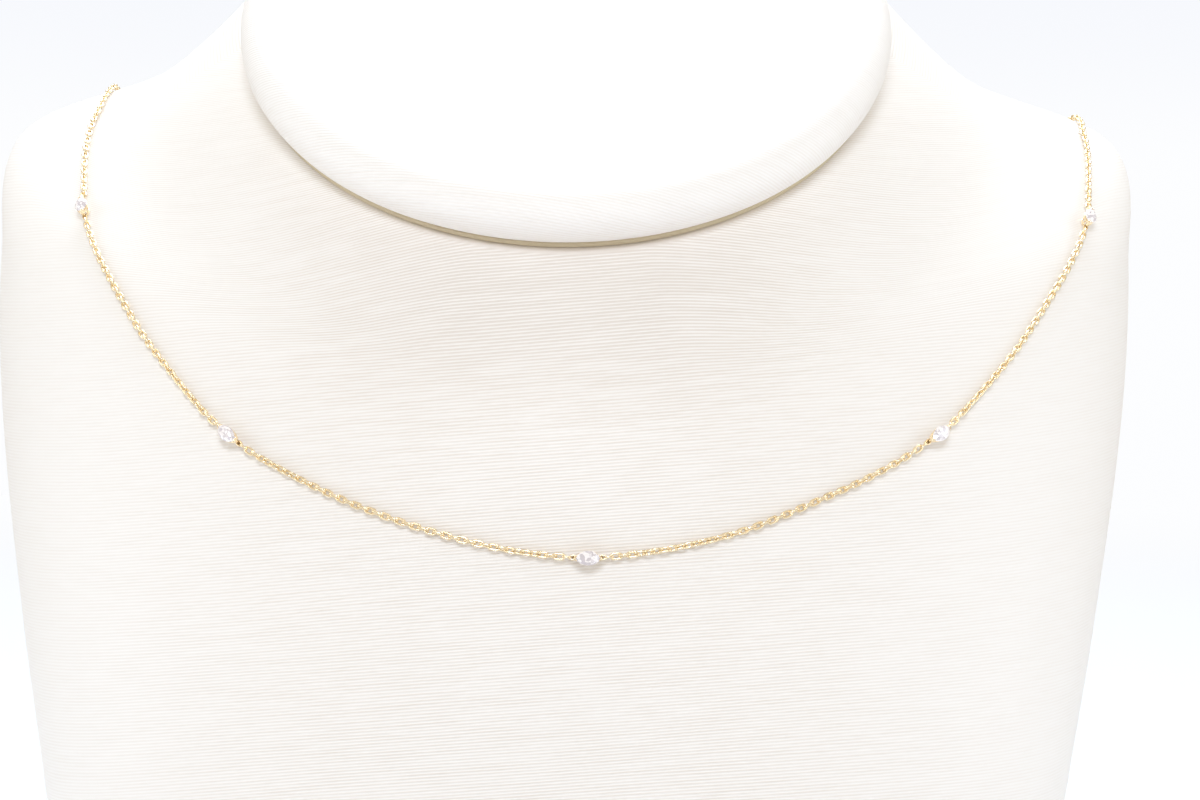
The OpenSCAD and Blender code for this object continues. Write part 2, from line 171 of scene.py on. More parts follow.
# ---------------------------------------------------------------- meshes
class Shape:
    """Corners and faces that are gathered into one mesh."""

    def __init__(self):
        self.points, self.faces, self.count = [], [], 0

    def add(self, points, faces):
        self.points.append(np.asarray(points, float))
        self.faces += [tuple(self.count + int(k) for k in f) for f in faces]
        self.count += len(points)
        return self

    def moved(self, s, lift):
        new = Shape()
        new.add(onto_route(np.vstack(self.points), s, lift), self.faces)
        return new

    def piece(self, name, material, slot, nodes, sharp=None):
        """Edges turned more than sharp degrees stay sharp; 0 leaves every face flat, None none sharp."""
        mesh = bpy.data.meshes.new(name)
        mesh.from_pydata((np.vstack(self.points) * MM).tolist(), [], self.faces)
        mesh.validate()
        mesh.materials.append(material)
        mesh.polygons.foreach_set("use_smooth", [sharp != 0] * len(mesh.polygons))
        if sharp:
            mesh.set_sharp_from_angle(angle=math.radians(sharp))
        made = bpy.data.objects.new(name, mesh)
        scene.collection.objects.link(made)
        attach(made, "root")
        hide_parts(*nodes)
        return made


def grid_faces(rings, sides, closed=False):
    """Faces between rings of equal numbers of corners; each ring is closed on itself."""
    faces = []
    for r in range(rings if closed else rings - 1):
        here, there = r * sides, (r + 1) % rings * sides
        for k in range(sides):
            k1 = (k + 1) % sides
            faces.append((here + k, here + k1, there + k1, there + k))
    return faces


def loft(rings, closed=False, caps=True):
    """A tube through rings of points; rings has the shape rings, sides, 3."""
    n, sides, _ = rings.shape
    faces = grid_faces(n, sides, closed)
    if caps and not closed:
        faces += [tuple(range(sides))[::-1], tuple((n - 1) * sides + k for k in range(sides))]
    return rings.reshape(-1, 3), faces


def superellipse(n, form=2.0):
    """Corners of a superellipse, half a step off its axes."""
    a = 2 * np.pi * (np.arange(n) + 0.5) / n
    c, s = np.cos(a), np.sin(a)
    return np.sign(c) * np.abs(c) ** (2 / form), np.sign(s) * np.abs(s) ** (2 / form)


def tube(path, radii, sides=10, closed=False, normal=(0, 0, 1)):
    """A round bar along a path, its thickness given at each point."""
    path = np.asarray(path, float)
    if closed:
        run = np.roll(path, -1, 0) - np.roll(path, 1, 0)
    else:
        run = np.gradient(path, axis=0)
    run = unit(run)
    side = unit(np.cross(run, np.broadcast_to(normal, run.shape)))
    up = np.cross(side, run)
    c, s = superellipse(sides)
    radii = np.broadcast_to(radii, len(path))
    around = c[None, :, None] * side[:, None] + s[None, :, None] * up[:, None]
    rings = path[:, None] + radii[:, None, None] * around
    return loft(rings, closed=closed)


# ---------------------------------------------------------------- materials
class Graph:
    """Short names for the nodes of a material."""

    def __init__(self, name):
        self.material = bpy.data.materials.new(name)
        self.material.use_nodes = True
        self.tree = self.material.node_tree
        self.shader = self.tree.nodes["Principled BSDF"]

    def node(self, kind, **settings):
        made = self.tree.nodes.new("ShaderNode" + kind)
        for key, value in settings.items():
            setattr(made, key, value)
        return made

    def put(self, socket, value):
        if isinstance(value, bpy.types.NodeSocket):
            self.tree.links.new(value, socket)
        else:
            socket.default_value = value

    def math(self, operation, *values, clamp=False):
        made = self.node("Math", operation=operation, use_clamp=clamp)
        for socket, value in zip(made.inputs, values):
            self.put(socket, value)
        return made.outputs[0]

    def between(self, value, low, high, to_low=0.0, to_high=1.0):
        """A smooth step from to_low to to_high while the value goes from low to high."""
        made = self.node("MapRange", interpolation_type="SMOOTHSTEP")
        sockets = ("Value", "From Min", "From Max", "To Min", "To Max")
        for key, v in zip(sockets, (value, low, high, to_low, to_high)):
            self.put(made.inputs[key], v)
        return made.outputs[0]

    def vector(self, x, y, z):
        made = self.node("CombineXYZ")
        for socket, value in zip(made.inputs, (x, y, z)):
            self.put(socket, value)
        return made.outputs[0]

    def scaled(self, values, factors):
        """A vector of the values, each multiplied by its own factor."""
        return self.vector(*[self.math("MULTIPLY", v, f) for v, f in zip(values, factors)])

    def noise(self, vector, scale=1.0, detail=2.0, rough=0.5):
        made = self.node("TexNoise")
        for key, v in {"Vector": vector, "Scale": scale, "Detail": detail, "Roughness": rough}.items():
            self.put(made.inputs[key], v)
        return made.outputs["Fac"]

    def mix(self, share, a, b):
        made = self.node("Mix", data_type="RGBA")
        self.put(made.inputs["Factor"], share)
        self.put(made.inputs["A"], a)
        self.put(made.inputs["B"], b)
        return made.outputs["Result"]

    def position_mm(self):
        """Place in the object's own frame, in millimetres."""
        coordinates = self.node("TexCoord")
        scaled = self.node("VectorMath", operation="SCALE")
        self.put(scaled.inputs[0], coordinates.outputs["Object"])
        scaled.inputs["Scale"].default_value = 1 / MM
        split = self.node("SeparateXYZ")
        self.put(split.inputs[0], scaled.outputs[0])
        return scaled.outputs[0], split.outputs

    def bump(self, height, distance, strength):
        made = self.node("Bump")
        self.put(made.inputs["Height"], height)
        made.inputs["Distance"].default_value = distance
        made.inputs["Strength"].default_value = strength
        self.put(self.shader.inputs["Normal"], made.outputs[0])

    def set(self, **values):
        for key, value in values.items():
            self.put(self.shader.inputs[key.replace("_", " ")], value)


# Ribs of the covers, in millimetres; each scale is for x, y and the way across the ribs
RIB_PITCH = 0.41
RIB_SWAY = 1.6                       # ribs that the sway moves a rib by
SWAY_SCALE = (0.022, 0.022, 0.09)
SLUB_SCALE = (0.13, 0.13, 1.7)
STREAK_SCALE = (0.03, 0.03, 0.35)
GRAIN_SCALE, GRAIN_RISE = 9.0, 0.22
STREAK_MIDDLE = 0.45
FLAT_SIDES = (20.0, 74.0)            # aside from the middle, where the ribs grow faint
CAP_SHADE_Z = (104.0, 130.0)             # height over which the painted shade under the cap grows
CAP_SHADE_ASIDE = (8.0, 44.0)            # aside from the middle, where the painted shade under the cap fades out
# Painted shade under the cap: how much darker its grooves are, and how much its valleys darken
CAP_SHADE_DARKEN = 0.9
CAP_SHADE_VALLEY = 0.8
TURNED_H = (-0.16, -0.03)            # height over the neck's top, where the cover turns
TURNED_SHADE = 0.7
FIBRE_SCALE = (1.2, 4.0, 9.0)        # of the raw board, for x, y and z


def cover(name, light, groove_colour, cap_shade_and_turn):
    """Ribbed satin cover: fine ribs with slubs, faint streaks and a grain; on the bust, painted shade under
    the neck cap.
    """
    g = Graph(name)
    place, (x, y, z) = g.position_mm()
    rib = g.node("Attribute", attribute_name="rib", attribute_type="GEOMETRY").outputs["Fac"]
    sway = g.noise(g.scaled((x, y, rib), SWAY_SCALE), detail=1.0)
    count = g.math("ADD", g.math("DIVIDE", rib, RIB_PITCH), g.math("MULTIPLY", sway, RIB_SWAY))
    wave = g.math("COSINE", g.math("MULTIPLY", count, 2 * math.pi))
    # Painted shade: the valleys between the ribs are coloured towards the groove colour, besides their bump
    valley = g.math("MULTIPLY_ADD", wave, -0.5, 0.5)
    aside = g.math("ABSOLUTE", x)
    # Towards the neck, near the middle, painted shade for the neck cap's shadow: a darker cover with broad
    # grooves and narrow light crests, the crests as painted highlights on the rib tops
    middle_share = g.between(aside, *CAP_SHADE_ASIDE, 1.0, 0.0)
    cap_shade = g.math("MULTIPLY", g.between(z, *CAP_SHADE_Z, 0.0, cap_shade_and_turn), middle_share)
    slub = g.noise(g.scaled((x, y, rib), SLUB_SCALE))
    streak = g.noise(g.scaled((x, y, rib), STREAK_SCALE))
    grain = g.noise(place, scale=GRAIN_SCALE, rough=0.6)
    side_share = g.between(aside, *FLAT_SIDES, 1.0, 0.3)
    strength = g.math("MULTIPLY", g.between(slub, 0.3, 0.7, 0.6, 1.0), side_share)
    # The ribs end where the cover turns over the neck's edge
    tilt_cos, tilt_sin = math.cos(NECK_TILT), math.sin(NECK_TILT)
    height = g.math("MULTIPLY_ADD", z, tilt_cos, -tilt_cos * NECK_MIDDLE[2])
    height = g.math("MULTIPLY_ADD", g.math("SUBTRACT", y, NECK_MIDDLE[1]), -tilt_sin, height)
    turned = g.between(height, *TURNED_H, 0.0, cap_shade_and_turn)
    strength = g.math("MULTIPLY", strength, g.math("SUBTRACT", 1.0, turned))
    narrowness = g.math("MULTIPLY_ADD", cap_shade, -0.6, 1.3)
    groove = g.math("MULTIPLY", g.math("POWER", valley, narrowness), strength)
    streak_share = g.math("MULTIPLY_ADD", cap_shade, 0.3, 0.07)
    streaks = g.math("MULTIPLY", g.math("SUBTRACT", streak, STREAK_MIDDLE), streak_share)
    shade = g.math("ADD", g.math("MULTIPLY_ADD", turned, TURNED_SHADE, groove), streaks)
    # Painted shade: under the cap the valleys are coloured darker still
    cap_shade_valley = g.math("MULTIPLY", cap_shade, g.math("MULTIPLY", valley, strength))
    shade = g.math("ADD", shade, g.math("MULTIPLY", cap_shade_valley, CAP_SHADE_VALLEY), clamp=True)
    cap_shaded_groove = g.mix(cap_shade, groove_colour, [c * CAP_SHADE_DARKEN for c in groove_colour[:3]] + [1])
    g.set(Base_Color=g.mix(shade, light, cap_shaded_groove))
    rise = g.math("MULTIPLY_ADD", groove, -1.0, g.math("MULTIPLY", grain, GRAIN_RISE))
    g.bump(rise, 0.00005, 0.6)
    g.set(Roughness=g.between(grain, 0.2, 0.8, 0.42, 0.56))
    g.set(Sheen_Weight=0.12, Sheen_Roughness=0.45, Specular_IOR_Level=0.35)
    return g.material


def board(name):
    """Raw edge of a pressed board, khaki with fine fibres."""
    g = Graph(name)
    _, split = g.position_mm()
    fibres = g.noise(g.scaled(split, FIBRE_SCALE), detail=3.0, rough=0.6)
    g.set(Base_Color=g.mix(fibres, (0.6, 0.5, 0.33, 1), (0.7, 0.6, 0.43, 1)), Specular_IOR_Level=0.2)
    g.set(Roughness=g.between(fibres, 0.2, 0.8, 0.75, 0.9))
    g.bump(fibres, 0.00003, 0.6)
    return g.material


def gold(name):
    """Polished pale yellow gold with faint tool marks and slight variation of colour."""
    g = Graph(name)
    place, _ = g.position_mm()
    broad = g.noise(place, scale=0.7)
    fine_marks = g.noise(place, scale=26.0, rough=0.6)
    g.set(Base_Color=g.mix(broad, (1.0, 0.81, 0.52, 1), (1.0, 0.865, 0.62, 1)), Metallic=1.0)
    g.set(Roughness=g.between(fine_marks, 0.3, 0.7, 0.2, 0.3))
    g.bump(fine_marks, 0.0000012, 0.5)
    return g.material


def painted_shade_metal(name):
    """Gold in a deep corner, unpolished, and painted dark: painted shade for the shadowed slit of an eye."""
    g = Graph(name)
    place, _ = g.position_mm()
    shade_mottle = g.noise(place, scale=5.0, detail=3.0, rough=0.6)
    g.set(Base_Color=g.mix(shade_mottle, (0.42, 0.26, 0.11, 1), (0.6, 0.41, 0.2, 1)), Metallic=0.6)
    g.set(Roughness=g.between(shade_mottle, 0.3, 0.7, 0.4, 0.6))
    g.bump(shade_mottle, 0.00001, 0.5)
    return g.material


def crystal(name):
    """Clear cut stone, with painted light and shade in its facets and a faint painted glow."""
    g = Graph(name)
    place, _ = g.position_mm()
    polish = g.noise(place, scale=3.0, detail=1.0)
    # Painted light and shade: small fields of it, standing in for what the facets behind the crown throw
    painted_facet_fields = g.node("TexVoronoi")
    g.put(painted_facet_fields.inputs["Vector"], place)
    painted_facet_fields.inputs["Scale"].default_value = 2.5
    part = g.node("SeparateColor")
    g.put(part.inputs[0], painted_facet_fields.outputs["Color"])
    painted_light_share = g.between(part.outputs[0], 0.25, 0.6)
    g.set(Base_Color=g.mix(painted_light_share, (0.56, 0.505, 0.53, 1), (0.99, 0.945, 0.925, 1)))
    # Painted glow: a little emission makes the stone look brighter
    g.set(IOR=2.2, Transmission_Weight=0.22, Emission_Color=(1, 0.96, 0.97, 1), Emission_Strength=0.14)
    g.set(Roughness=g.between(polish, 0.3, 0.7, 0.0, 0.01))
    return g.material


bust_cover = cover("ivory_ribbed_cover", (0.985, 0.945, 0.9, 1), (0.85, 0.77, 0.69, 1), 1.0)
# Painted light: the cap's cover is a lighter copy of the bust's ribbed cover, with paler grooves, for its
# brightly lit top
cap_cover = cover("ribbed_cover_painted_lighter", (1.0, 0.965, 0.93, 1), (0.94, 0.885, 0.83, 1), 0.0)
raw_board = board("raw_board")
gold_metal = gold("yellow_gold")
# Painted shade: dark gold for the webs in the eyes' shadowed slits
painted_shade_gold = painted_shade_metal("painted_shade_gold")
stone_glass = crystal("clear_stone")

# ---------------------------------------------------------------- the bust
BUST_SIDES = 352
BUST_STEP = 1 / 16
FOOT_ROUND = 1.4
FOOT_PLACE = 0.03                    # place of the last ring of the rounded foot
RIB_FLAT_SHARE = 0.75                # share of the way along the surface that counts where it lies flat
RIB_SLOPE = 0.09                     # fall of the ribs towards +X
RIB_PULL, RIB_PULL_X = 0.0004, 60    # bend of the ribs, and how far aside it reaches
RIB_PULL_Z, RIB_PULL_RUN = 72, 42    # height at which the bend starts, and over which it grows
RIB_BACK_Y, RIB_BACK_REACH = -42, 20
RIB_DIP_Z, RIB_DIP_RUN = 142, 290


def add_rib(made, values):
    rib = made.data.attributes.new("rib", "FLOAT", "POINT")
    rib.data.foreach_set("value", np.asarray(values, np.float32))


def build_bust():
    angles = np.arange(BUST_SIDES) * 360 / BUST_SIDES
    places = np.arange(0, LAST + BUST_STEP / 2, BUST_STEP)
    rings = on_bust(angles[None, :], places[:, None])
    # Ribs are counted by height, and by the way along the surface where it lies flatter
    steps = np.diff(rings, axis=0)
    rise = np.maximum(np.abs(steps[..., 2]), RIB_FLAT_SHARE * np.linalg.norm(steps, axis=-1))
    rib = np.concatenate([np.zeros((1, BUST_SIDES)), np.cumsum(rise, axis=0)])
    x, z = rings[..., 0], rings[..., 2]
    grown = np.clip((z - RIB_PULL_Z) / RIB_PULL_RUN, 0, 1)
    pull = RIB_PULL * grown ** 2 * (3 - 2 * grown)
    near = np.clip(x, -RIB_PULL_X, RIB_PULL_X)
    # They dip a little where the form turns back at the sides
    behind = np.clip(rings[..., 1] - RIB_BACK_Y, 0, None)
    back = RIB_BACK_REACH * np.tanh(behind / RIB_BACK_REACH)
    dip = np.clip((RIB_DIP_Z - z) / RIB_DIP_RUN, 0, None) * back
    rib = rib - RIB_SLOPE * x + pull * near ** 2 / 2 + dip
    # A rounded foot, and a flat underside set in from it
    centre = np.array([0, (BACK_Y + SECTIONS[0, 0]) / 2, 0])
    foot = []
    for a in (90, 60, 30):
        inset = FOOT_ROUND * (1 - math.cos(math.radians(a)))
        height = FOOT_ROUND * (1 - math.sin(math.radians(a)))
        ring = rings[0].copy()
        ring += unit(centre - ring) * inset
        ring[:, 2] = height
        foot.append(ring)
    foot.append(on_bust(angles, np.full(BUST_SIDES, FOOT_PLACE)))
    # The neck's top face closes inwards in rings
    top = rings[-1]
    middle = top.mean(axis=0)
    inner_top = [middle + (top - middle) * k for k in (0.99, 0.9, 0.6, 0.2)]
    under = foot[0]
    inner_foot = [centre + (under - centre) * k for k in (0.2, 0.6, 0.95)]
    all_rings = np.array(inner_foot + foot + list(rings[1:]) + inner_top)
    ribs = np.vstack([
        *[rib[0]] * (len(inner_foot) + len(foot)),
        rib[1:],
        *[rib[-1]] * len(inner_top),
    ])
    points, faces = loft(all_rings)
    made = Shape().add(points, faces).piece("bust_form", bust_cover, "bust_cover", ["bust"])
    add_rib(made, ribs.ravel())


# ---------------------------------------------------------------- the padded neck cap
CAP_SIDES = 288
CAP_RIB_TURN = math.radians(-10)
CAP_TURN = np.arange(CAP_SIDES) * 2 * np.pi / CAP_SIDES
BOARD_EDGE, BOARD_LOW, BOARD_SUNK = 0.12, 0.03, 0.02
SWELL = 0.12
SWELL_WAVES = ((3, 0.7, 0.5), (7, 2.1, 0.3), (13, 0.0, 0.2))    # waves round the rim, phase, share


def on_neck(r, h, turn):
    """Points about the neck's axis: distance from it, height along it and angle round it."""
    across, up = r * np.cos(turn), r * np.sin(turn)
    local = np.stack([across, up, np.broadcast_to(h, across.shape)], axis=-1)
    return NECK_MIDDLE + local @ np.array(Matrix.Rotation(NECK_TILT, 3, "X")).T


def build_board():
    low, top = BOARD_LOW, CAP_GAP + BOARD_H - BOARD_SUNK
    flat = BOARD_R - BOARD_EDGE
    profile = np.array([
        (0.5, low), (20, low), (40, low), (flat, low), (BOARD_R, low + BOARD_EDGE),
        (BOARD_R, top - BOARD_EDGE), (flat, top), (40, top), (20, top), (0.5, top),
    ])
    points, faces = loft(on_neck(profile[:, 0, None], profile[:, 1, None], CAP_TURN))
    Shape().add(points, faces).piece("neck_cap_board", raw_board, "cap_cover", ["neck_cap"], sharp=30)


def build_cap():
    flat = CAP_R - CAP_RIM_R
    # The cover ends on the board
    start = math.asin((BOARD_H - CAP_RIM_R) / CAP_RIM_R)
    profile = [(r, CAP_GAP + BOARD_H) for r in (0.5, 10, 20, 30, 36, 41)]
    profile += [(flat + CAP_RIM_R * math.cos(a), CAP_GAP + CAP_RIM_R * (1 + math.sin(a)))
                for a in np.linspace(start, math.pi / 2, 22)]
    profile += [(flat * q, CAP_GAP + 2 * CAP_RIM_R + CAP_CROWN * (1 - q * q))
                for q in np.linspace(0.97, 0.015, 34)]
    profile = np.array(profile)
    way = np.concatenate([[0], np.cumsum(np.linalg.norm(np.diff(profile, axis=0), axis=1))])
    way = way[-1] - way
    r, h = profile[:, 0, None], profile[:, 1, None]
    # The foam gives a little: a slow swell of the rim
    soft = np.clip((r - 20) / 25, 0, 1) * np.clip(h / 3, 0, 1)
    waves = sum(np.sin(n * CAP_TURN + phase) * share for n, phase, share in SWELL_WAVES)
    rings = on_neck(r - np.abs(SWELL * soft * waves), h, CAP_TURN)
    rib = way[:, None] * np.sin(CAP_TURN - CAP_RIB_TURN)[None, :]
    points, faces = loft(rings)
    made = Shape().add(points, faces).piece("neck_cap_pad", cap_cover, "cap_cover", ["neck_cap"], sharp=60)
    add_rib(made, rib.ravel())


# ---------------------------------------------------------------- chain links
LINK_A, LINK_B = 0.69, 0.335        # half length and half width of a link's wire centre line
LINK_WIRE = 0.16
LINK_PITCH = 1.04
SMALL_A, SMALL_B, SMALL_WIRE = 0.56, 0.3, 0.12   # the link in an eye
JUMP_R, JUMP_WIRE = 0.62, 0.14
LINK_AROUND, LINK_SIDES = 16, 6
END_X = 2.05                         # end of the first link's centre line, from the station's middle
LINK_PLAY = 0.02
RUN_HALF = 0.35                      # the chain's direction is taken this far to each side
LIFT_RUN = 2.2                       # way along which the chain comes down from an eye
CLASP_JUMP, CLASP_END = 4.37, 4.71   # from the clasp's middle to the round link, and to the stretch's end
RING_JUMP, RING_END = 4.47, 4.81     # the same on the end ring's side


def link_path(a, b):
    """An oval with straight sides, from its +X end round."""
    straight = a - b
    turn = np.radians(np.linspace(-90, 90, LINK_AROUND // 2 - 1))
    right = np.column_stack([straight + b * np.cos(turn), b * np.sin(turn)])
    half = np.vstack([right, [[0, b * 1.04]]])
    return np.column_stack([np.vstack([half, -half]), np.zeros(LINK_AROUND)])


LINK = tube(link_path(LINK_A, LINK_B), LINK_WIRE, LINK_SIDES, closed=True)
SMALL = tube(link_path(SMALL_A, SMALL_B), SMALL_WIRE, LINK_SIDES, closed=True)
JUMP = tube(link_path(JUMP_R, JUMP_R * 0.999), JUMP_WIRE, LINK_SIDES, closed=True)


def add_link(shape, mesh, s, lift, roll, sway=0.0):
    """One link with its middle at s, turned by roll degrees out of the bust's plane."""
    points, faces = mesh
    foot, _, side, up = route_frame(s, lift)
    run = unit(route_point(s + RUN_HALF, lift) - route_point(s - RUN_HALF, lift))
    a = math.radians(roll)
    across = math.cos(a) * side + math.sin(a) * up
    across = unit(across - run * (across @ run))
    b = math.radians(sway)
    run, across = run * math.cos(b) + across * math.sin(b), across * math.cos(b) - run * math.sin(b)
    shape.add(foot + points @ np.array([run, across, np.cross(run, across)]), faces)


def ease(x, low, high):
    t = np.clip((x - low) / (high - low), 0, 1)
    return t * t * (3 - 2 * t)


EYE_LIFT = SETTING_LIFT + 0.59       # height of the eyes above the bust
LOW_LIFT = 0.62                      # height of the free chain above the bust


def chain_lift(s, start, end, lift_start, lift_end):
    down = math.exp(-max(s - start, 0) / LIFT_RUN)
    up = math.exp(-max(end - s, 0) / LIFT_RUN)
    return LOW_LIFT + (lift_start - LOW_LIFT) * down + (lift_end - LOW_LIFT) * up


def build_stretch(i, start, end, lift_start=EYE_LIFT, lift_end=EYE_LIFT,
                  roll_start=90, roll_end=90, jump=None):
    """Links from the distance start to end, measured to the ends of their centre lines."""
    shape = Shape()
    # A small link in each station's eye, one pitch of its own from the next
    step = SMALL_A + LINK_A - SMALL_WIRE - LINK_WIRE - LINK_PLAY
    if lift_start == EYE_LIFT:
        add_link(shape, SMALL, start + SMALL_A, EYE_LIFT, roll_start)
        start, roll_start = start + SMALL_A + step - LINK_A, roll_start + 90
    if lift_end == EYE_LIFT:
        add_link(shape, SMALL, end - SMALL_A, EYE_LIFT, roll_end)
        end, roll_end = end - SMALL_A - step + LINK_A, roll_end - 90
    gaps = (end - start - 2 * LINK_A) / LINK_PITCH
    parity = round((roll_end - roll_start) / 90) % 2
    steps = int(2 * round((gaps - parity) / 2) + parity)
    pitch = (end - start - 2 * LINK_A) / steps
    last_turn = (roll_end - roll_start - 90 * steps + 90) % 180 - 90
    for k in range(steps + 1):
        s = start + LINK_A + k * pitch
        # Twist and sway in degrees: a free chain turns slowly about its own line
        wave = 38 + 24 * math.sin(s / 8.5 + 1.9) + 8 * math.sin(s / 3.1)
        free = ease(k, -1, 4) * ease(steps - k, -1, 4)
        twist = wave * free + last_turn * ease(k, steps - 12, steps)
        sway = 3.5 * math.sin(k * 2.4 + i) * free
        lift = chain_lift(s, start, end, lift_start, lift_end)
        add_link(shape, LINK, s, lift, roll_start + 90 * k + twist, sway)
    if jump:
        add_link(shape, JUMP, *jump)
    shape.piece(f"chain_{i}_links", gold_metal, "gold", [f"chain_{i}"])


def build_chains():
    for i in range(2, STATIONS + 1):
        build_stretch(i, station_s(i) + END_X, station_s(i - 1) - END_X)
    # The first stretch ends in a round link on the clasp's eye, and the last starts with one on the end ring
    build_stretch(1, station_s(1) + END_X, CLASP_S - CLASP_END, lift_end=CLASP_LIFT, roll_end=0,
                  jump=(CLASP_S - CLASP_JUMP, CLASP_LIFT, 90))
    build_stretch(STATIONS + 1, CLASP_S + RING_END, LOOP + station_s(STATIONS) - END_X,
                  lift_start=CLASP_LIFT, roll_start=50, jump=(CLASP_S + RING_JUMP, CLASP_LIFT, 140))


# ---------------------------------------------------------------- settings
STONE_L, STONE_W = 3.25, 1.82
RAIL_H = 0.28
SEAT_Z = 1.09
STONE_Z = 1.6184
GIRDLE_H, CROWN_H, PAVILION_H, TABLE = 0.07, 0.36, 0.85, 0.56
STAR, STAR_H = 0.74, 0.6             # share of the outline and of the crown's height
MAIN, MAIN_H = 0.42, 0.55            # share of the outline and of the pavilion's depth

# Rails of a setting: outer length and width, inner length and width
FOOT_RAIL = (2.11, 1.18), (1.49, 0.76)
SEAT_RAIL = (3.46, 1.72), (2.95, 1.3)
EYE_RAIL = (1.56, 0.72), (1.14, 0.35)
EYE_X, EYE_LOW, EYE_HIGH = 1.8, 0.46, 0.8
WEB_X, WEB_LENGTH, WEB_WIDTH, WEB_LOW, WEB_HIGH = 1.58, 0.82, 0.5, 0.36, 0.47
# Bars of a setting at its +X end: corners of the centre line
BAR_R = 0.13
STRUT = (0.75, 0, 0.14), (0.95, 0, 0.32), (1.2, 0, 0.55)
STEM = (1.56, 0, 0.5), (1.6, 0, 0.9), (1.64, 0, 1.36)
POST = (0.66, 0.3, 0.12), (0.8, 0.39, 0.45), (0.92, 0.43, 0.85), (1.02, 0.46, 1.2)
POST_R = (0.15, 0.115, 0.115, 0.15)


def oval(length, width, t):
    """Points of a pointed oval; t runs from 0 to 1 once round, from the +X tip."""
    r = (length ** 2 + width ** 2) / (4 * width)
    half = math.asin(min(length / 2 / r, 1))
    upper = t < 0.5
    f = np.where(upper, t, t - 0.5) * 2
    a = half * (1 - 2 * f)
    x = np.where(upper, r * np.sin(a), -r * np.sin(a))
    y = np.where(upper, 1, -1) * (r * np.cos(a) - r + width / 2)
    return np.column_stack([x, y])


def rail(outer, inner, low, high, around=48, sides=12, middle=0.0):
    """A closed rail between two pointed ovals, with rounded edges."""
    t = np.arange(around) / around
    o, i = oval(*outer, t), oval(*inner, t)
    c, s = superellipse(sides, 3.2)
    flat = (o + i)[:, None] / 2 + (o - i)[:, None] / 2 * c[None, :, None]
    z = np.broadcast_to((low + high) / 2 + (high - low) / 2 * s, flat.shape[:2])
    rings = np.dstack([flat[..., 0] + middle, flat[..., 1], z])
    return loft(rings, closed=True)


# Outline of the claw's wall: share of the outer oval, height
CLAW_FOOT = 1.26
CLAW = [(1.0, CLAW_FOOT), (1.005, 1.6), (0.995, 1.76), (0.955, 1.85), (0.885, 1.885), (0.86, 1.84),
        (0.9, 1.79), (0.932, 1.735), (0.932, 1.6), (0.93, CLAW_FOOT)]
CLAW_OVAL = 3.56, 2.05
CLAW_FALL = 0.55                     # share of its height that a claw loses towards its sides


def claw(sign, around=17, span=0.055):
    """A pointed claw over a tip of the stone; span is its share of the way round the oval."""
    t = np.linspace(-span, span, around)
    outer = oval(*CLAW_OVAL, np.mod(t, 1))
    rings = []
    for (x, y), f in zip(outer, t / span):
        share = 1.0 - CLAW_FALL * abs(f) ** 3
        rings.append([[sign * x * q, y * q, CLAW_FOOT + (z - CLAW_FOOT) * share] for q, z in CLAW])
    rings = np.array(rings)
    return loft(rings if sign < 0 else rings[::-1])


def web(middle, around=24):
    """A thin plate with a pointed oval outline and a soft edge."""
    outline = oval(WEB_LENGTH, WEB_WIDTH, np.arange(around) / around)
    edge = (1.0, (WEB_LOW + WEB_HIGH) / 2)
    profile = [(0.05, WEB_LOW), (0.96, WEB_LOW), edge, (0.96, WEB_HIGH), (0.05, WEB_HIGH)]
    return loft(np.array([
        np.column_stack([outline * k + [middle, 0], np.full(around, z)]) for k, z in profile
    ]))


def mirrored(path, x, y=1):
    return np.array(path) * [x, y, 1]


def build_setting(i):
    metal, shade_webs = Shape(), Shape()
    metal.add(*rail(*FOOT_RAIL, 0, RAIL_H))
    metal.add(*rail(*SEAT_RAIL, SEAT_Z, SEAT_Z + RAIL_H))
    for x in (-1, 1):
        metal.add(*claw(x))
        # Pointed eye for the chain, and the bars that carry it
        metal.add(*rail(*EYE_RAIL, EYE_LOW, EYE_HIGH, around=32, sides=10, middle=x * EYE_X))
        metal.add(*tube(mirrored(STRUT, x), BAR_R))
        metal.add(*tube(mirrored(STEM, x), BAR_R, normal=(0, 1, 0)))
        for y in (-1, 1):
            # Post from the foot rail to the seat rail, thickened where it meets them
            metal.add(*tube(mirrored(POST, x, y), POST_R))
        # A web closes the inner half of the eye from below; its dark gold is painted shade for the slit's
        # shadow
        shade_webs.add(*web(x * WEB_X))
    for shape, name, material in ((metal, "gold", gold_metal), (shade_webs, "shade_webs", painted_shade_gold)):
        placed = shape.moved(station_s(i), SETTING_LIFT)
        placed.piece(f"setting_{i}_{name}", material, "gold", [f"setting_{i}"], sharp=50)


